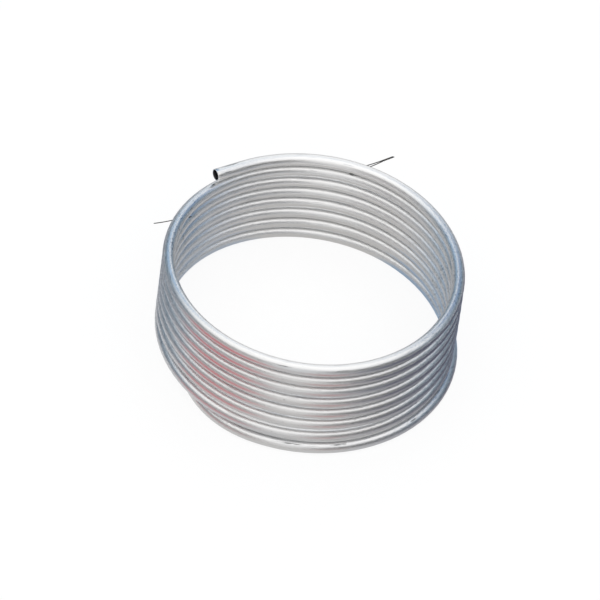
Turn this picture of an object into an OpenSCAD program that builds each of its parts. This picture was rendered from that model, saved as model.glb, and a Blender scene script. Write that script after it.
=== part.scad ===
// Coil of soft metal tube, standing on its lowest turn.
// Each turn lies level round its right half and climbs to the next one round its left half.
// Millimetres; the floor is Z = 0, the front is -Y, and the turns climb counter-clockwise from above.

/* [Tube] */
// Outside diameter of the tube
tube_d = 12.7; // [8:0.1:14]
// Thickness of the tube's wall
wall = 0.9; // [0.6:0.1:2]

/* [Coil] */
// Diameter of the coil, on the centre line of the tube
coil_d = 300; // [260:2:400]
// Number of turns
turns = 8; // [3:1:12]
// Free space between a turn and the one above it
turn_gap = 2.5; // [2.2:0.1:6]
// How far each turn sits to the left of the one below it
drift = 0.4; // [0.2:0.1:0.8]
// How far the lowest turn bulges out at the front
flare = 7.5; // [0:0.5:10]

/* [Ends] */
// Straight length at each end of the tube
end_l = 33; // [15:1:40]
// Angle that the top end runs on past the back of the coil
top_run = 36.5; // [10:0.5:60]
// Angle that the bottom end runs on past the front of the coil
bottom_run = 70; // [60:1:90]
// How much tighter, in radius, the bend of the bottom end is
tuck = 26; // [24:1:50]

/* [Tie wires] */
// Diameter of the wire
wire_d = 1; // [0.6:0.1:1.4]
// Clearance between a wire and the turn above it
wire_gap = 0.3; // [0.2:0.1:0.6]
// How far the left wire reaches past the middle of its turn before it hooks up
hook_back = 2.5; // [2.5:0.1:4]
// Radius of that hook, on the centre line of the wire
hook_r = 12; // [10:0.5:14]
// Angle that the hook rises through behind the turn
hook_angle = 25; // [15:1:45]
// Place of the left wire, as an angle round the coil from +X
left_at = 160.5; // [120:0.5:175]
// Angle of the left wire away from the outward direction
left_skew = 34.5; // [-40:0.5:40]
// Angle that the left wire droops below level
left_droop = 12; // [0:1:20]
// Length of the left wire from under its turn
left_l = 32; // [15:1:60]
// Place of the right wire, as an angle round the coil from +X
right_at = 81; // [20:0.5:85]
// Angle of the right wire away from the outward direction
right_skew = -41.5; // [-45:0.5:45]
// Length of its two strands from the bend under the turn to the twist
right_l = 37.5; // [15:0.5:60]
// Length of the twisted pair that they end in
twist_l = 14.5; // [6:0.5:30]
// Angle of each strand to the line of the twist
splay = 3; // [2:0.5:5]

/* [Hidden] */
$fn = 96;

coil_r = coil_d / 2;
pitch = tube_d + turn_gap;
floor_z = tube_d / 2;
top_z = floor_z + (turns - 1) * pitch;

// A climbing half turn is a half circle in a plane that leans by climb_a
climb_a = atan(pitch / coil_d);
climb_r = coil_r / cos(climb_a);

// The bends that leave the level turns have walls thinner by seam on both faces: each joint is a clean edge
seam = 0.01;
// Depth that a straight piece reaches over the bend before it
lap = 0.05;

bottom_y = -coil_r - flare;
tail_r = coil_r - tuck;

// Place of a turn against the top one, to the right
function turn_x(turn) = (turns - 1 - turn) * drift;

// Height of a wire's centre line against the centre line of the turn above it
wire_z = -(tube_d / 2 + wire_gap + wire_d / 2);
// Spacing of the two strands where they enter the twist, and the diameter round both
pair_w = 1.1 * wire_d;
twist_d = pair_w + 1.1 * wire_d;
// Radius of the bend that joins the two strands under the turn
eye_r = (pair_w / 2 + right_l * sin(splay)) / cos(splay);

// Height of the tube's centre line on the climb that ends at the top turn, at an angle round the coil
function climb_z(at) = top_z - pitch * (1 + sin(at)) / 2;

// Reach of the coil and its wires to each side; their middle stands over the origin
left_x = coil_r * cos(left_at) + left_l * cos(left_at + left_skew);
right_x = turn_x(0) + coil_r + flare / 2 + tube_d / 2;
front_y = bottom_y - tube_d / 2;
back_y = coil_r * sin(right_at) + (right_l + twist_l) * sin(right_at + right_skew);
middle = [(left_x + right_x) / 2, (front_y + back_y) / 2, 0];

module tube_section(thinner = 0)
    difference() {
        circle(d = tube_d - 2 * thinner);
        circle(d = tube_d - 2 * (wall - thinner));
    }

module bend(radius, start, angle, thinner = 0)
    rotate_extrude(start = start, angle = angle)
        translate([radius, 0])
            tube_section(thinner);

// Straight end on a bend about Z that stops at an angle
module straight_end(radius, at)
    rotate([0, 0, at])
        translate([radius, -lap, 0])
            rotate([-90, 0, 0])
                linear_extrude(end_l + lap)
                    tube_section();

// Level right half of a turn, from the front round to the back
module level_half(turn, bulge = 0)
    translate([turn_x(turn), -bulge / 2, floor_z + turn * pitch])
        bend(coil_r + bulge / 2, -90, 180);

// Short straight at the back of a turn, which moves the next turn to the left
module drift_step(turn)
    translate([turn_x(turn), coil_r, floor_z + turn * pitch])
        rotate([0, -90, 0])
            linear_extrude(drift)
                tube_section(seam / 2);

// Frame of the climb from the back of a turn, in line with the turn above or below it
module climb_frame(turn, in_line)
    translate([turn_x(in_line), 0, floor_z + (turn + 0.5) * pitch])
        rotate([-climb_a, 0, 0])
            children();

module top_end()
    climb_frame(turns - 1, turns - 1) {
        bend(climb_r, 90, top_run, seam);
        straight_end(climb_r, 90 + top_run);
    }

// The bottom end tucks in under the first climb, flat on the floor
module bottom_end()
    translate([turn_x(0), bottom_y + tail_r, floor_z])
        mirror([0, 1, 0]) {
            bend(tail_r, 90, bottom_run, seam);
            straight_end(tail_r, 90 + bottom_run);
        }

module tube_coil()
    color("silver")
    translate(-middle) {
        level_half(0, flare);
        for (turn = [1 : turns - 1])
            level_half(turn);
        for (turn = [0 : turns - 2]) {
            drift_step(turn);
            climb_frame(turn, turn + 1)
                bend(climb_r, 90, 180, seam);
        }
        top_end();
        bottom_end();
    }

// Frame at the tube's centre line, with +X outwards and turned by skew
module tie_frame(at, height, skew)
    translate(-middle)
        rotate([0, 0, at])
            translate([coil_r, 0, height])
                rotate([0, 0, skew])
                    children();

// Straight wire along +X
module straight_wire(d, length)
    rotate([0, 90, 0])
        cylinder(d = d, h = length);

module tie_wire_left()
    color("dimgray")
        tie_frame(left_at, climb_z(left_at), left_skew)
            rotate([0, left_droop, 0])
                translate([-hook_back, 0, wire_z]) {
                    translate([0, 0, hook_r])
                        rotate([90, 0, 0])
                            rotate_extrude(start = 270 - hook_angle, angle = hook_angle)
                                translate([hook_r, 0])
                                    circle(d = wire_d);
                    straight_wire(wire_d, hook_back + left_l);
                }

// One strand of the right wire: it runs from under the turn into the twist, beside the other one
module strand(side)
    translate([0, side * pair_w / 2, 0])
        rotate([0, 0, -side * splay])
            translate([-right_l - lap, 0, 0])
                straight_wire(wire_d, right_l + lap + wire_d);

// Bend that joins the two strands under the turn
module wire_eye()
    translate([-right_l * cos(splay) - eye_r * sin(splay), 0, 0])
        rotate_extrude(start = 90 - splay, angle = 180 + 2 * splay)
            translate([eye_r, 0])
                circle(d = wire_d - 2 * seam);

module tie_wire_right()
    color("dimgray")
        tie_frame(right_at, top_z, right_skew)
            translate([right_l, 0, wire_z]) {
                strand(-1);
                strand(1);
                wire_eye();
                straight_wire(twist_d, twist_l);
            }

tube_coil();
tie_wire_left();
tie_wire_right();
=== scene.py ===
# %% [markdown]
# # A coil of soft aluminium tube
#
# The object is a length of bare aluminium tube, wound by hand into eight turns that stand on top of each
# other, with two bits of tie wire left at its back. The solids come from the CAD frame. This file gives them
# the skin that the real tube has: a satin drawn surface with fine scratches, specks and smudges. Lengths are
# in metres, and angles are in degrees unless a comment says radians.

# %% Load the frame
import math

import bpy
import numpy as np
from mathutils import Matrix, Vector


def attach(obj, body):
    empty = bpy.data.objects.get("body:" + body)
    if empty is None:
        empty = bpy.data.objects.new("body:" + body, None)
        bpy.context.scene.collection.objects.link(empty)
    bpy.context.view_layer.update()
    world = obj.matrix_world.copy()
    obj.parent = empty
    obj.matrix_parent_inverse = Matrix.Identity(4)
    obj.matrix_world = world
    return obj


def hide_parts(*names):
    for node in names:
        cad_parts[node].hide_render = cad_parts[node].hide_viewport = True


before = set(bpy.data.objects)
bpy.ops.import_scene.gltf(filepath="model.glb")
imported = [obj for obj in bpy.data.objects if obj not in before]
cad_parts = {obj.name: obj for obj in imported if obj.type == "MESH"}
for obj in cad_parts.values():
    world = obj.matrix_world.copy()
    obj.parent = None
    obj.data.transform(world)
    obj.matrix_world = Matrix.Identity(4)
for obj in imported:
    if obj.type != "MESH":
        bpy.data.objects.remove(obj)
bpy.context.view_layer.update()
MM = 0.001
print("nodes:", sorted(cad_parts))

# %% [markdown]
# ## The camera
#
# The photo was taken from far away with a long lens: near and far turns have almost the same width. The
# viewing angle was fitted to the outline of the turns. The camera looks down by 46 degrees along +Y, and the
# picture is rolled by about 10 degrees, so the coil seems to lean while it stands upright. The frame's
# origin is under the middle of the box round everything; the axis of the top turn stands a few millimetres
# from it.

# %% Place the camera
VIEW_DOWN = 0.7995  # radians
VIEW_ROLL = 0.1690  # radians
VIEW_FAR = 10.58
SENSOR_W = 36  # millimetres, as for the lens
PHOTO_W = 600  # pixels
PIXELS_PER_M = 968.5
MIDDLE = np.array([-4.703, 8.690, 0]) * MM  # middle of the box, from the axis of the top turn
COIL_MIDDLE = Vector((0, 0, 59.55 * MM)) - Vector(MIDDLE)
MIDDLE_AT = (307.83, 299.65)  # where the coil's middle lies in the picture, in pixels

towards = Vector((0, -math.cos(VIEW_DOWN), math.sin(VIEW_DOWN)))
level_up = Vector((0, math.sin(VIEW_DOWN), math.cos(VIEW_DOWN)))
level_right = Vector((1, 0, 0))
right = math.cos(VIEW_ROLL) * level_right + math.sin(VIEW_ROLL) * level_up
up = math.cos(VIEW_ROLL) * level_up - math.sin(VIEW_ROLL) * level_right
aside = (MIDDLE_AT[0] - PHOTO_W / 2) / PIXELS_PER_M
above = (PHOTO_W / 2 - MIDDLE_AT[1]) / PIXELS_PER_M

camera = bpy.data.objects.new("camera", bpy.data.cameras.new("camera"))
camera.data.sensor_width = SENSOR_W
camera.data.lens = PIXELS_PER_M * VIEW_FAR * SENSOR_W / PHOTO_W
camera_place = COIL_MIDDLE + VIEW_FAR * towards - aside * right - above * up
camera_turn = Matrix((right, up, towards)).transposed().to_4x4()
camera.matrix_world = Matrix.Translation(camera_place) @ camera_turn
bpy.context.scene.collection.objects.link(camera)
bpy.context.scene.camera = camera
print("camera:", round(camera.data.lens), "mm lens at", [round(c, 2) for c in camera.location])

# %% [markdown]
# ## The line that the tube follows
#
# Each turn is level round its right half and climbs round its left half, as in the CAD. A level half is a
# half circle, and a climbing half is a half circle in a plane that leans a little about X. They meet with
# the same direction, so the whole tube is one smooth line. A plain helix would be shorter to write, but its
# ends would not lie flat. Each turn sits a little to the left of the one below it. The sizes are the CAD's
# own.

# %% Sizes and line of the coil
TUBE_R = 6.35 * MM
WALL = 0.9 * MM
COIL_R = 150 * MM
PITCH = 15.2 * MM
TURNS = 8
DRIFT = 0.4 * MM
FLARE = 7.5 * MM
TUCK_R = 124 * MM
END_L = 33 * MM
TOP_RUN = 36.5
BOTTOM_RUN = 70
CLIMB_LEAN = math.atan(PITCH / (2 * COIL_R))  # radians
CLIMB_R = COIL_R / math.cos(CLIMB_LEAN)
TOP_Z = TUBE_R + (TURNS - 1) * PITCH
ARC_STEP = 3.75  # between two points of an arc
END_POINTS = 8  # along each straight end


def arc_line(centre, radius, lean, start, stop):
    """Points and directions on an arc: radius times (cos, sin) of the angle, leaned back about X by a number
    of radians and moved to centre. The point at stop is left to whatever follows the arc."""
    count = max(3, round(abs(stop - start) / ARC_STEP))
    angle = np.radians(np.linspace(start, stop, count, endpoint=False))
    flat = np.stack([np.cos(angle), np.sin(angle)], 1)
    along = np.stack([-flat[:, 1], flat[:, 0]], 1)
    leaned = np.array([[1, 0, 0], [0, math.cos(lean), -math.sin(lean)]])
    return np.array(centre) + radius * flat @ leaned, along @ leaned


def coil_line():
    """The tube's centre line from its bottom end to its top end: straight, arc, turns, arc, straight."""
    low = ((TURNS - 1) * DRIFT, -COIL_R - FLARE + TUCK_R, TUBE_R)
    arcs = [arc_line(low, TUCK_R, 0, -90 - BOTTOM_RUN, -90)]
    for turn in range(TURNS):
        bulge = FLARE / 2 if turn == 0 else 0
        level = ((TURNS - 1 - turn) * DRIFT, -bulge, TUBE_R + turn * PITCH)
        arcs.append(arc_line(level, COIL_R + bulge, 0, -90, 90))
        middle = (max(TURNS - 2 - turn, 0) * DRIFT, 0, TUBE_R + (turn + 0.5) * PITCH)
        climb = 180 if turn < TURNS - 1 else TOP_RUN
        arcs.append(arc_line(middle, CLIMB_R, CLIMB_LEAN, 90, 90 + climb))
    last, last_way = arc_line(middle, CLIMB_R, CLIMB_LEAN, 90 + TOP_RUN, 91 + TOP_RUN)
    points = np.concatenate([arc[0] for arc in arcs])
    ways = np.concatenate([arc[1] for arc in arcs])
    reach = np.linspace(1, 0, END_POINTS, endpoint=False)[:, None] * END_L
    bottom = points[0] - reach * ways[0]
    top = last[0] + reach[::-1] * last_way[0]
    points = np.concatenate([bottom, points, last[:1], top])
    bottom_ways = np.repeat(ways[:1], END_POINTS, 0)
    top_ways = np.repeat(last_way[:1], END_POINTS + 1, 0)
    return points - MIDDLE, np.concatenate([bottom_ways, ways, top_ways])


def length_along(points):
    """Metres along a line from its first point to each point: the sum of the steps so far."""
    return np.append(0, np.cumsum(np.linalg.norm(np.diff(points, axis=0), axis=1)))


line, way = coil_line()
run = length_along(line)
print("centre line:", len(line), "points,", round(run[-1], 2), "m of tube")

# %% [markdown]
# ## Finding a place on the tube
#
# Marks and dents are seen at a place round the coil, but they are made at a length along the tube. The angle
# round the coil's axis grows all the way along the line, so the one can be read off the other.

# %% From an angle to a length
off_axis = line + MIDDLE
polar = np.degrees(np.unwrap(np.arctan2(off_axis[:, 1], off_axis[:, 0])))
polar += 360 * round((360 * (TURNS - 1) + 90 + TOP_RUN - polar[-1]) / 360)


def along_tube(turn, at):
    """Metres of tube from the bottom end to an angle from +X on a turn, read off the centre line."""
    return float(np.interp(360 * turn + at, polar, run))


print("front of the bottom turn:", round(along_tube(0, -90), 3), "m from the bottom end")

# %% [markdown]
# ## From a line to a tube
#
# A tube is a circle carried along a line. At each point of the line one direction points out of the coil and
# one points up, and the circle lies in these two. A modifier on a curve could do this, but with arrays the
# same rows can turn round at the rim and run back inside as the bore, so the tube has a real wall.


# %% Sweep a circle along a line
def sweep(points, ways, radii, around):
    """Rings of points: centre plus radius times (cos of the angle outwards plus sin of the angle upwards).
    Outwards is the line's direction crossed with Z, and upwards is outwards crossed with the direction."""
    out = np.cross(ways, [0, 0, 1])
    out /= np.linalg.norm(out, axis=1, keepdims=True)
    high = np.cross(out, ways)
    angle = np.linspace(0, 2 * np.pi, around, endpoint=False) - np.pi / 2
    ring = np.cos(angle)[None, :, None] * out[:, None] + np.sin(angle)[None, :, None] * high[:, None]
    return points[:, None] + np.asarray(radii)[:, None, None] * ring, angle


def grid_faces(rows, columns, closed):
    """Corner numbers of the faces of a grid whose columns close on themselves, and its rows too if closed."""
    row = np.arange(rows if closed else rows - 1)[:, None]
    here = np.arange(columns)[None]
    following = (here + 1) % columns
    low = (row % rows) * columns
    high = ((row + 1) % rows) * columns
    return np.stack([low + here, high + here, high + following, low + following], 2).reshape(-1, 4)


def make_piece(name, points, faces):
    """A smooth mesh object at the origin from an array of points and a list of faces."""
    mesh = bpy.data.meshes.new(name)
    mesh.from_pydata(points.reshape(-1, 3), [], faces)
    mesh.polygons.foreach_set("use_smooth", np.ones(len(mesh.polygons), bool))
    piece = bpy.data.objects.new(name, mesh)
    bpy.context.scene.collection.objects.link(piece)
    return piece


def keep_unrolled(piece, values):
    """Stores for each point where it would lie if the piece were unrolled straight, for patterns along it."""
    kept = piece.data.attributes.new("unrolled", "FLOAT_VECTOR", "POINT")
    kept.data.foreach_set("vector", np.ascontiguousarray(values, np.float32).ravel())


print("a sleeve of 3 rings of 4 points has", len(grid_faces(3, 4, False)), "faces")

# %% [markdown]
# ## Soft turns
#
# Soft tube never winds quite evenly. The line wanders by a few tenths of a millimetre between the turns. At
# the front the three turns above the bottom one have also sunk and bulge out with it, and the bottom end and
# the first climb lie a few millimetres further out. A simulation of the metal could find this, but smooth
# humps along the line are enough: each is 1 in its middle, falls off with the square and ends at its reach.

# %% Let the turns settle
UP = np.array([0, 0, 1])
WANDER = 0.35 * MM
RISE_RATE = 9.1  # radians per metre of tube
SWAY_RATE = 6.3  # radians per metre of tube
SWAY_START = 1  # radians
STILL_BOTTOM = 0.8  # metres of tube that lie still on the floor
STILL_TOP = 0.1
EASE_L = 0.3

# Turn, angle round the coil, reach along the tube, then millimetres outwards and downwards
SETTLED = [
    (0, -118, 0.07, 2.4, 0),
    (0, 236, 0.13, 3.2, 0),
    (1, -80, 0.20, 2.1, 1.9),
    (2, -80, 0.20, 1.5, 1.1),
    (3, -80, 0.20, 0.9, 0.6),
]

outwards = np.cross(way, UP)
rise = np.sin(run * RISE_RATE)[:, None] * UP
sway = np.sin(run * SWAY_RATE + SWAY_START)[:, None] * outwards
ease = np.clip(np.minimum(run - STILL_BOTTOM, run[-1] - STILL_TOP - run) / EASE_L, 0, 1)[:, None]
wound = line + WANDER * ease * (rise + sway)
for turn, at, reach, out_by, down_by in SETTLED:
    hump = np.clip(1 - ((run - along_tube(turn, at)) / reach) ** 2, 0, 1)[:, None] ** 2
    wound += hump * (out_by * outwards - down_by * UP) * MM
print("settled by at most", round(np.linalg.norm(wound - line, axis=1).max() / MM, 1), "mm")

# %% [markdown]
# ## The tube
#
# The outer rows run from the bottom end to the top end, turn round over the rim and come back as the bore. A
# saw cut leaves a small bevel outside and a smaller one inside, so each rim has two rows of its own and the
# rows beside it are set back a little.

# %% Make the tube
AROUND = 40
BEVEL = 0.25 * MM
BORE_R = TUBE_R - WALL
RIM = [TUBE_R - BEVEL, BORE_R + BEVEL / 2]

last = len(wound) - 1
outer = np.arange(last + 1)
order = np.concatenate([outer, [last, last], outer[::-1], [0, 0]])
radii = np.concatenate([np.full(last + 1, TUBE_R), RIM, np.full(last + 1, BORE_R), RIM[::-1]])
set_back = np.zeros(len(order))
set_back[[0, last]] = BEVEL, -BEVEL
set_back[[last + 3, 2 * last + 3]] = -BEVEL / 2, BEVEL / 2
rings, section_angle = sweep(wound[order] + set_back[:, None] * way[order], way[order], radii, AROUND)
tube = make_piece("aluminium_tube", rings, grid_faces(len(order), AROUND, True).tolist())

straight = np.empty_like(rings)
straight[..., 0] = run[order][:, None]
straight[..., 1] = radii[:, None] * np.cos(section_angle)
straight[..., 2] = radii[:, None] * np.sin(section_angle)
keep_unrolled(tube, straight)
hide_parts("tube_coil")
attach(tube, "root")
print("tube:", 2 * len(tube.data.polygons), "triangles")

# %% [markdown]
# ## The tie wires
#
# The coil was tied with soft black wire. What is left is one tail at the left, whose end is hooked up behind
# the top turn, and a hairpin at the back right: its bend sits under the top turn and its two strands are
# twisted into a pigtail. A wire is again a circle along a line, made of arcs, straight runs and a helix.

# %% Lines of the wires
WIRE_R = 0.5 * MM
WIRE_GAP = 0.3 * MM
WIRE_Z = -(TUBE_R + WIRE_GAP + WIRE_R)
HOOK_BACK = 2.5 * MM
HOOK_R = 12 * MM
HOOK_ANGLE = math.radians(25)
LEFT_L = 32 * MM
LEFT_AT = 160.5
LEFT_SKEW = 34.5
LEFT_DROOP = 12
LEFT_WAVE = -0.25 * MM
RIGHT_L = 37.5 * MM
RIGHT_AT = 81
RIGHT_SKEW = -41.5
RIGHT_WAVE = 0.2 * MM
SPLAY = math.radians(3)
PAIR_W = 2.2 * WIRE_R
EYE_R = (PAIR_W / 2 + RIGHT_L * math.sin(SPLAY)) / math.cos(SPLAY)
TWIST_L = 14.5 * MM
TWIST_LAY = 3.4 * MM
UNEVEN = 1 * MM  # how much sooner the first strand ends
HOOK_POINTS = 9
RUN_POINTS = 40
TWIST_POINTS = 60
EYE_POINTS = 24


def turned(points, axis, angle):
    """Points turned by an angle in radians about X, Y or Z."""
    return points @ np.array(Matrix.Rotation(angle, 3, axis)).T


def at_turn(points, at, height, skew):
    """Points moved from the wire's own frame to the tube's centre line, at an angle round the coil."""
    placed = turned(points, "Z", math.radians(skew)) + [COIL_R, 0, height]
    return turned(placed, "Z", math.radians(at)) - MIDDLE


def straight_run(length, wave):
    """A run along X from 0 to length that waves sideways by one sine."""
    x = np.linspace(0, length, RUN_POINTS)
    return np.stack([x, wave * np.sin(2 * np.pi * x / length), 0 * x], 1)


def hooked_line(length):
    """The left wire along X: an arc that comes down behind the turn, then a run out under it."""
    angle = np.linspace(HOOK_ANGLE, 0, HOOK_POINTS, endpoint=False)
    hook = np.stack([-HOOK_R * np.sin(angle), 0 * angle, HOOK_R * (1 - np.cos(angle))], 1)
    return np.concatenate([hook, straight_run(length + HOOK_BACK, LEFT_WAVE)]) + [-HOOK_BACK, 0, WIRE_Z]


def strand_line(side):
    """One strand of the hairpin: a run into the twist, then a helix round the line of the twist."""
    run_in = turned(straight_run(RIGHT_L, RIGHT_WAVE) - [RIGHT_L, 0, 0], "Z", -side * SPLAY)
    x = np.linspace(0, TWIST_L - UNEVEN * (1 + side) / 2, TWIST_POINTS)[1:]
    spin = 2 * np.pi * x / TWIST_LAY
    twist = np.stack([x, side * PAIR_W / 2 * np.cos(spin), side * PAIR_W / 2 * np.sin(spin)], 1)
    return np.concatenate([run_in + [0, side * PAIR_W / 2, 0], twist])


def hairpin_line():
    """The right wire: one strand back to the turn, a bend of over half a circle, the other strand out."""
    angle = np.linspace(math.pi / 2 - SPLAY, 3 * math.pi / 2 + SPLAY, EYE_POINTS)[1:-1]
    bend = EYE_R * np.stack([np.cos(angle), np.sin(angle), 0 * angle], 1)
    bend -= [RIGHT_L * math.cos(SPLAY) + EYE_R * math.sin(SPLAY), 0, 0]
    return np.concatenate([strand_line(1)[::-1], bend, strand_line(-1)]) + [RIGHT_L, 0, WIRE_Z]


left_height = TOP_Z - PITCH * (1 + math.sin(math.radians(LEFT_AT))) / 2
left_drooped = turned(hooked_line(LEFT_L), "Y", math.radians(LEFT_DROOP))
left_line = at_turn(left_drooped, LEFT_AT, left_height, LEFT_SKEW)
right_line = at_turn(hairpin_line(), RIGHT_AT, TOP_Z, RIGHT_SKEW)
print("wires:", len(left_line), "and", len(right_line), "points")

# %% [markdown]
# ## Drawing the wires
#
# Pliers leave a flat cut: the last ring is drawn in to a small middle ring, which is closed with one face.
# The wires are swept like the tube, and not bevelled curves, so they have the same unrolled places for
# patterns.

# %% Make the wires
WIRE_AROUND = 12
CUT_R = 0.3 * WIRE_R


def wire_piece(name, path):
    """A circle carried along the path, with a smaller ring and one face that close each end."""
    ways = np.gradient(path, axis=0)
    ways /= np.linalg.norm(ways, axis=1, keepdims=True)
    order = np.concatenate([[0], np.arange(len(path)), [len(path) - 1]])
    radii = np.full(len(order), WIRE_R)
    radii[[0, -1]] = CUT_R
    rings, angle = sweep(path[order], ways[order], radii, WIRE_AROUND)
    count = len(order) * WIRE_AROUND
    ends = [list(range(WIRE_AROUND - 1, -1, -1)), list(range(count - WIRE_AROUND, count))]
    piece = make_piece(name, rings, grid_faces(len(order), WIRE_AROUND, False).tolist() + ends)
    length = length_along(path)[order][:, None]
    straight = np.broadcast_arrays(length, WIRE_R * np.cos(angle), WIRE_R * np.sin(angle))
    keep_unrolled(piece, np.stack(straight, 2))
    return piece


wires = []
for name, path, node in (
    ("left_wire", left_line, "tie_wire_left"),
    ("right_wire", right_line, "tie_wire_right"),
):
    wire = wire_piece(name, path)
    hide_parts(node)
    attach(wire, "root")
    wires.append(wire)
    print(name, len(wire.data.polygons), "faces")

# %% [markdown]
# ## Shader maths
#
# A material is a sum of small patterns. Nodes are clear on the screen but long in a script, so one small
# class wraps an output socket: a sum or product of two of them adds a Math node, and `node` adds anything
# else.


# %% A socket that can be calculated with
class Pattern:
    """A socket of a node tree. Arithmetic adds Math nodes, and node() adds any other node."""

    def __init__(self, tree, socket=None):
        self.tree = tree
        self.socket = socket

    def node(self, kind, settings=None, inputs=None, output=0):
        """Adds a node, sets its settings first, then the values or links of its sockets; gives one output."""
        new = self.tree.nodes.new(kind)
        for key, value in (settings or {}).items():
            setattr(new, key, value)
        for key, value in (inputs or {}).items():
            if isinstance(value, Pattern):
                self.tree.links.new(value.socket, new.inputs[key])
            else:
                new.inputs[key].default_value = value
        return Pattern(self.tree, new.outputs[output])

    def math(self, operation, a, b=0.0):
        """A Math node on one or two numbers or patterns."""
        return self.node("ShaderNodeMath", {"operation": operation}, {0: a, 1: b})

    def __add__(self, other):
        return self.math("ADD", self, other)

    def __sub__(self, other):
        return self.math("SUBTRACT", self, other)

    def __rsub__(self, other):
        return self.math("SUBTRACT", other, self)

    def __mul__(self, other):
        return self.math("MULTIPLY", self, other)

    __radd__ = __add__
    __rmul__ = __mul__

    def vector(self, operation, other):
        """A Vector Math node on this vector and another one."""
        return self.node("ShaderNodeVectorMath", {"operation": operation}, {0: self, 1: other})

    def length(self):
        """The length of this vector."""
        return self.node("ShaderNodeVectorMath", {"operation": "LENGTH"}, {0: self}, "Value")

    def axis(self, number):
        """X, Y or Z of this vector, for the number 0, 1 or 2."""
        return self.node("ShaderNodeSeparateXYZ", {}, {0: self}, number)

    def ramp(self, low, high):
        """0 below low, 1 above high and smooth between them; low above high turns it round."""
        rising = low < high
        return self.node("ShaderNodeMapRange", {"interpolation_type": "SMOOTHSTEP", "clamp": True}, {
            "Value": self, "From Min": min(low, high), "From Max": max(low, high),
            "To Min": 0.0 if rising else 1.0, "To Max": 1.0 if rising else 0.0})

    def blend(self, a, b):
        """The colour a where this is 0 and the colour b where it is 1."""
        return self.node("ShaderNodeMix", {"data_type": "RGBA"}, {0: self, 6: a, 7: b}, 2)

    def spot(self, middle, reach, core):
        """An oval in this vector space: 1 out to a share of its reach, the core, and 0 from its reach on."""
        return self.vector("SUBTRACT", middle).vector("DIVIDE", reach).length().ramp(1.0, core)

    def noise(self, cells, detail=2.0, rough=0.5):
        """Soft random cells on this vector, with a number of cells per metre along each axis."""
        return self.node("ShaderNodeTexNoise", {}, {
            "Vector": self.vector("MULTIPLY", cells), "Scale": 1.0, "Detail": detail, "Roughness": rough})


def new_material(name):
    """A new material, its tree as a Pattern, and its Principled shader."""
    material = bpy.data.materials.new(name)
    material.use_nodes = True
    tree = material.node_tree
    return material, Pattern(tree), tree.nodes["Principled BSDF"]


def feed(shader, **values):
    """Sets sockets of a shader: a Pattern is linked, and a number or colour is set on the socket itself."""
    for name, value in values.items():
        socket = shader.inputs[name.replace("_", " ")]
        if isinstance(value, Pattern):
            value.tree.links.new(value.socket, socket)
        else:
            socket.default_value = value


print("patterns:", [name for name in vars(Pattern) if not name.startswith("_")])

# %% [markdown]
# ## Marks from handling
#
# The photo shows a few scratches that stand out: on the front of the top and bottom turns, on the top end
# and near the left wire. They could be painted on a texture, but each one is only an oval spot on the
# unrolled tube: metres along it, an angle round its section and half its length and width.


# %% Places of the handling marks
def streak(along, angle, length, width):
    """Middle and reach of a mark: metres along the tube, degrees round it from its outer side, half sizes."""
    turned_by = math.radians(angle)
    return (along, TUBE_R * math.cos(turned_by), TUBE_R * math.sin(turned_by)), (length, width, width)


TOP_MARKS = [
    streak(along_tube(6, 264.5), 40, 12 * MM, 0.8 * MM),
    streak(along_tube(7, -72), 37, 9 * MM, 1.0 * MM),
]
FRONT_PIT = streak(along_tube(3, 267.5), 24, 0.9 * MM, 0.9 * MM)
BOTTOM_MARKS = [
    streak(along_tube(0, -87.5), 60, 16 * MM, 1.2 * MM),
    streak(along_tube(0, -69.5), 64, 11 * MM, 1.2 * MM),
    streak(along_tube(0, -37.5), 61, 6 * MM, 1.2 * MM),
]
LEFT_NICK = streak(along_tube(6, 157.5), 138, 3 * MM, 1.2 * MM)
END_MARKS = [
    streak(run[-1] - 19 * MM, 70, 14 * MM, 1.3 * MM),
    streak(run[-1] - 12 * MM, 138, 6 * MM, 0.8 * MM),
]
MARKS = [*TOP_MARKS, FRONT_PIT, *BOTTOM_MARKS, LEFT_NICK, *END_MARKS]
MARK_CORE = 0.4
print("marks:", len(MARKS))

# %% [markdown]
# ## Bare drawn aluminium
#
# A drawn tube is smooth round its section and finely lined along its length. The top of each turn is painted
# lighter: partly metal rubbed bright by the turn that lay on it, partly a painted highlight. The side of the
# tube that faces into the coil is painted lighter as well, which is painted light. On the coil's two sides
# the colour carries a grainy blue-grey painted reflection and white painted glints. Handling adds thin
# scratches, dark specks, dull smudges and patches with a cooler film. The bore is dull and painted near-black
# as painted shade, and the sawn rim is bright: partly fresh metal, partly a painted highlight. Most of this
# follows the tube, so these patterns are laid on the unrolled tube; only the two sides are found by their
# place in the coil.

# %% Where the tube is lined, dull, rubbed or painted with light and shade
SIDES_FROM = 0.105
SIDES_FULL = 0.14

aluminium, skin, metal = new_material("satin_aluminium")
unrolled = skin.node("ShaderNodeAttribute", {"attribute_name": "unrolled"}, output=1)

draw_lines = unrolled.noise((3, 1900, 1900), 3.0, 0.6)
grain = unrolled.noise((420, 1100, 1100))
film = unrolled.noise((5, 60, 60))
smudge = unrolled.noise((22, 130, 130), 3.0, 0.6).ramp(0.58, 0.74)
scratch_place = unrolled.noise((14, 90, 90), 1.0).ramp(0.5, 0.62)
scratch = unrolled.noise((45, 4200, 4200), 1.0).ramp(0.70, 0.76) * scratch_place
speck = unrolled.noise((800, 1700, 1700), 0.0).ramp(0.81, 0.85)

place = skin.node("ShaderNodeTexCoord", output="Object")
sides = skin.math("ABSOLUTE", place.axis(0)).ramp(SIDES_FROM, SIDES_FULL)
# Painted glints: white specks in the colour, only on the coil's two sides.
sparkle = unrolled.noise((400, 760, 760)).ramp(0.55, 0.68) * sides
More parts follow.
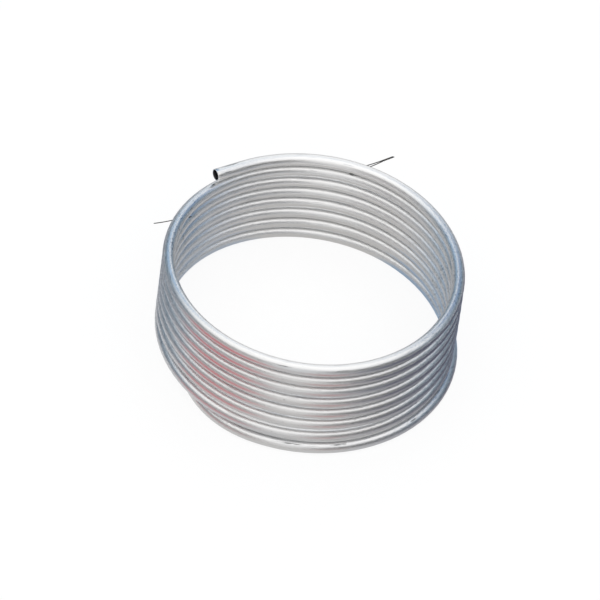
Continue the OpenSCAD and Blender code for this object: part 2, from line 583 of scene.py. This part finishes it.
# Painted reflection: a grainy blue-grey on the coil's two sides stands for the dim blue round them.
side_reflection = unrolled.noise((340, 640, 640), 2.0, 0.6).ramp(0.54, 0.66) * sides

marks = unrolled.spot(*MARKS[0], MARK_CORE)
for spot in MARKS[1:]:
    marks = marks + unrolled.spot(*spot, MARK_CORE)
marks = marks * unrolled.noise((160, 2600, 2600)).ramp(0.42, 0.56)

from_axis = unrolled.vector("MULTIPLY", (0, 1, 1)).length()
# Painted shade: the bore is painted near-black, as the inside of the tube gets no light.
bore = from_axis.ramp(BORE_R + 0.3 * BEVEL, BORE_R)
# The sawn rim is painted bright: partly fresh metal, partly a painted highlight.
rim = from_axis.ramp(BORE_R, BORE_R + BEVEL) * from_axis.ramp(TUBE_R, TUBE_R - 0.3 * BEVEL)
# The top of the tube is painted lighter: partly rubbed metal, partly a painted highlight.
worn_top_and_highlight = unrolled.axis(2).ramp(0.55 * TUBE_R, 0.95 * TUBE_R)
# Painted light: the side of the tube that faces into the coil is painted lighter.
painted_inner_light = unrolled.axis(1).ramp(0, -0.5 * TUBE_R)
print("patterns on the tube:", len(skin.tree.nodes), "nodes")

# %% [markdown]
# ## The tube's skin
#
# The colours are laid over each other: first the drawn metal and its film, then the painted light on the side
# that faces into the coil and the rubbed top with its painted highlight, then smudges, scratches and specks,
# then the painted reflection and painted glints on the sides, and last the sawn rim with its painted
# highlight, the marks and the painted shade of the bore. Each layer is multiplied by how much of it shows.
# One painted picture could hold all of this, but layers stay sharp at any distance. The drawn lines also dull
# the shine and raise a very fine relief.

# %% Mix the tube's skin
DRAWN_METAL = (0.675, 0.668, 0.662, 1)
COOL_FILM = (0.63, 0.64, 0.655, 1)
INNER_LIGHT_METAL = (0.86, 0.852, 0.845, 1)
RUBBED_AND_HIGHLIGHT_METAL = (0.93, 0.925, 0.915, 1)
SMUDGE_GREY = (0.42, 0.42, 0.43, 1)
SCRATCH_GREY = (0.30, 0.31, 0.33, 1)
SPECK_BLACK = (0.09, 0.09, 0.10, 1)
SIDE_REFLECTION_BLUE = (0.36, 0.385, 0.42, 1)
GLINT_WHITE = (0.97, 0.98, 1.0, 1)
SAWN_METAL_AND_HIGHLIGHT = (0.95, 0.95, 0.95, 1)
MARK_BLACK = (0.10, 0.105, 0.11, 1)
BORE_SHADE_BLACK = (0.07, 0.07, 0.075, 1)
RELIEF_STRENGTH = 0.6
RELIEF_DEPTH = 0.2 * MM

colour = film.ramp(0.40, 0.66).blend(DRAWN_METAL, COOL_FILM)
# Painted light on the side of the tube that faces into the coil.
colour = (painted_inner_light * 0.8).blend(colour, INNER_LIGHT_METAL)
# Rubbed metal and painted highlight along the top of the tube.
colour = (worn_top_and_highlight * 0.75).blend(colour, RUBBED_AND_HIGHLIGHT_METAL)
colour = (smudge * 0.35).blend(colour, SMUDGE_GREY)
colour = (scratch * 0.4).blend(colour, SCRATCH_GREY)
colour = (speck * 0.8).blend(colour, SPECK_BLACK)
# Painted reflection in blue-grey on the coil's two sides.
colour = (side_reflection * 0.9).blend(colour, SIDE_REFLECTION_BLUE)
# Painted glints on the coil's two sides.
colour = (sparkle * 0.95).blend(colour, GLINT_WHITE)
# Sawn metal and painted highlight on the rim.
colour = (rim * 0.9).blend(colour, SAWN_METAL_AND_HIGHLIGHT)
colour = (marks * 0.85).blend(colour, MARK_BLACK)
# Painted shade in the bore.
colour = bore.blend(colour, BORE_SHADE_BLACK)
dullness = 0.165 + draw_lines * 0.12 + smudge * 0.12 + film * 0.06 + bore * 0.2 + rim * 0.35
relief = draw_lines * 0.5 + grain * 1.6 - scratch * 0.6 - speck * 0.5 - marks * 0.8
bump = skin.node("ShaderNodeBump", {}, {
    "Strength": RELIEF_STRENGTH, "Distance": RELIEF_DEPTH, "Height": relief})
feed(metal, Base_Color=colour, Roughness=dullness, Normal=bump, Metallic=1.0)
tube.data.materials.append(aluminium)
print("satin aluminium:", len(skin.tree.nodes), "nodes")

# %% [markdown]
# ## Annealed wire
#
# Annealing leaves a black scale on iron wire. Where it was bent and pulled, the scale is rubbed to grey, and
# a little brown shows. At this size two soft patterns along the wire are enough, and no relief is needed.

# %% The wire's skin
SCALE_BLACK = (0.045, 0.043, 0.042, 1)
RUBBED_GREY = (0.17, 0.165, 0.16, 1)
RUST_BROWN = (0.16, 0.10, 0.065, 1)

annealed, scale_skin, iron = new_material("annealed_wire")
along = scale_skin.node("ShaderNodeAttribute", {"attribute_name": "unrolled"}, output=1)
rubbed = along.noise((300, 900, 900)).ramp(0.5, 0.68)
brown = along.noise((120, 500, 500)).ramp(0.52, 0.7)
colour = rubbed.blend(SCALE_BLACK, RUBBED_GREY)
colour = (brown * 0.5).blend(colour, RUST_BROWN)
feed(iron, Base_Color=colour, Roughness=0.62 - rubbed * 0.2, Metallic=0.3 + rubbed * 0.5)
for wire in wires:
    wire.data.materials.append(annealed)
print("annealed wire:", len(scale_skin.tree.nodes), "nodes")

# %% [markdown]
# ## The floor
#
# The photo has a plain white ground. The floor mostly glows white for the camera and for reflections, and
# the rest of it is lit, so it keeps the coil's soft shadow. A plain white floor would need a much stronger
# lamp.

# %% Floor
SQUARE = np.array([[-1, -1, 0], [1, -1, 0], [1, 1, 0], [-1, 1, 0]], float)
SQUARE_FACE = [[0, 1, 2, 3]]
FLOOR_REACH = 6
FLOOR_GREY = (0.9, 0.9, 0.9, 1)
GLOW_WHITE = (1, 1, 1, 1)
GLOW_STRENGTH = 1.05
GLOW_SHARE = 0.85
BACKGROUND_RAYS = ("Is Camera Ray", "Is Glossy Ray", "Is Transmission Ray")

floor = make_piece("floor", FLOOR_REACH * SQUARE, SQUARE_FACE)
ground, ground_tree, matt = new_material("pale_floor")
feed(matt, Base_Color=FLOOR_GREY, Roughness=1.0, Specular_IOR_Level=0.0)


def background_rays(pattern):
    """1 for the rays that show the background: from the camera, in a reflection or through glass."""
    path = pattern.node("ShaderNodeLightPath").socket.node
    seen, mirrored, through = [Pattern(pattern.tree, path.outputs[kind]) for kind in BACKGROUND_RAYS]
    return pattern.math("MAXIMUM", pattern.math("MAXIMUM", seen, mirrored), through)


glow = ground_tree.node("ShaderNodeEmission", {}, {"Color": GLOW_WHITE, "Strength": GLOW_STRENGTH})
lit = Pattern(ground_tree.tree, matt.outputs[0])
glowing = background_rays(ground_tree) * GLOW_SHARE
mixed = ground_tree.node("ShaderNodeMixShader", {}, {0: glowing, 1: lit, 2: glow})
ground_tree.tree.links.new(mixed.socket, ground_tree.tree.nodes["Material Output"].inputs["Surface"])
floor.data.materials.append(ground)
print("floor:", ground.name)

# %% [markdown]
# ## The sky
#
# Metal shows what is round it. A bright band runs from behind the coil over its top to the front and gives
# the turns their long white lines. To the left and right the sky is dim and a little blue, and low behind it
# is dim too, which draws the thin dark edge along the top turn. Ramps on the direction do this without an
# image: a direction has the length 1, so its X, Y and Z say how far it points to the right, to the back and
# up.

# %% Sky
SIDE_SKY = 0.29
TOP_SKY = 0.84
FRONT_SKY = 0.1
RIGHT_DIMMER = 0.25
BAND_SKY = 1.13
FRONT_DIMMER = 0.18
EDGE_DIMMER = 0.55
WHITE_SKY = (1, 1, 1, 1)
BLUE_SKY = (0.60, 0.80, 1, 1)

world = bpy.data.worlds.new("studio")
bpy.context.scene.world = world
world.use_nodes = True
sky = Pattern(world.node_tree)
direction = sky.node("ShaderNodeTexCoord", output="Generated")
right_x = direction.axis(0)
back_y = direction.axis(1)
height = direction.axis(2)

overhead = (height - back_y.ramp(0.1, 0.7) * 0.25).ramp(0.3, 0.8)
central = sky.math("ABSOLUTE", right_x).ramp(0.42, 0.15)
front = back_y.ramp(0.1, -0.4)
edge = back_y.ramp(0.3, 0.8) * height.ramp(0.32, 0.08)
dim = (1 - central) * (1 - overhead)
front_glow = FRONT_SKY - right_x.ramp(0.2, 0.6) * RIGHT_DIMMER
dome = SIDE_SKY + overhead * TOP_SKY + front * (1 - overhead) * front_glow
band = BAND_SKY - front * (1 - height.ramp(0.3, 0.85)) * FRONT_DIMMER - edge * EDGE_DIMMER
level = dome + central * (band - dome)
tint = (dim * (1 - front)).blend(WHITE_SKY, BLUE_SKY)
feed(world.node_tree.nodes["Background"], Strength=level, Color=tint)
print("sky:", len(world.node_tree.nodes), "nodes")

# %% [markdown]
# ## The lamp
#
# One wide lamp above the coil adds a soft shadow on the floor. It is weak, because the sky gives most of the
# light. Its power is its brightness times pi times its area.

# %% Lamp
LAMP_PLACE = Vector((0, 0.1, 2.0))
LAMP_SIDE = 1.0
LAMP_BRIGHTNESS = 0.1

lamp = bpy.data.objects.new("top_lamp", bpy.data.lights.new("top_lamp", "AREA"))
lamp.data.size = LAMP_SIDE
lamp.data.energy = LAMP_BRIGHTNESS * math.pi * LAMP_SIDE ** 2
lamp.visible_camera = False
lamp_turn = LAMP_PLACE.to_track_quat("Z", "Y").to_matrix().to_4x4()
lamp.matrix_world = Matrix.Translation(LAMP_PLACE) @ lamp_turn
bpy.context.scene.collection.objects.link(lamp)
print("lamp:", round(lamp.data.energy, 2), "W")

# %% [markdown]
# ## Cards
#
# The metal also mirrors things that the photo doesn't show: darker ground on each side, something red to the
# left in front, and something blue high up on both sides. A lamp can only add light to a mirror, so these
# are flat cards with a soft rim. Only reflections see them, as with the flags in a photographer's studio.
# The flags lie just above the floor, each at its own height, so that no two of them share a plane.

# %% Cards
CARD_CORE = 0.6
BLACK = (0, 0, 0, 1)

# Name, middle, reach along X and Y, colour
CARDS = [
    ("front_flag", (0, -0.55, 0.0004), (0.95, 0.55), (0.70, 0.70, 0.70)),
    ("left_flag", (-0.64, 0.15, 0.0006), (0.60, 0.70), (0.32, 0.35, 0.40)),
    ("right_flag", (0.60, -0.05, 0.0006), (0.58, 0.75), (0.10, 0.105, 0.16)),
    ("back_flag", (0, 0.62, 0.0004), (0.95, 0.42), (0.45, 0.45, 0.46)),
    ("inner_flag", (0, 0.12, 0.0008), (0.20, 0.16), (0.56, 0.553, 0.545)),
    ("cool_floor_left", (-0.13, 0.10, 0.0009), (0.09, 0.11), (0.40, 0.45, 0.52)),
    ("cool_floor_right", (0.14, 0.08, 0.0009), (0.09, 0.11), (0.30, 0.40, 0.53)),
    ("cool_card_left", (-0.26, 0.34, 0.45), (0.24, 0.25), (0.24, 0.41, 0.62)),
    ("cool_card_right", (0.27, 0.34, 0.45), (0.25, 0.26), (0.11, 0.22, 0.40)),
    ("warm_card_left", (-0.26, -0.26, 0.001), (0.24, 0.17), (0.70, 0.23, 0.26)),
    ("warm_card_right", (0.085, -0.27, 0.001), (0.06, 0.09), (0.60, 0.38, 0.38)),
]


def soft_card(name, middle, reach, colour):
    """A level oval card that fades out at its rim and that only reflections see."""
    card = make_piece(name, np.array(middle) + SQUARE * [*reach, 0], SQUARE_FACE)
    card.visible_camera = False
    card.visible_diffuse = False
    card.visible_shadow = False
    paper, paper_tree, shine = new_material(name)
    fade = paper_tree.node("ShaderNodeTexCoord", output="Object").spot(middle, (*reach, 1), CARD_CORE)
    feed(shine, Base_Color=BLACK, Specular_IOR_Level=0.0, Alpha=fade)
    feed(shine, Emission_Color=(*colour, 1), Emission_Strength=1.0)
    card.data.materials.append(paper)
    return card


cards = [soft_card(*card) for card in CARDS]
print("cards:", [card.name for card in cards])

# %% Finish
bpy.context.scene.view_settings.view_transform = "Standard"
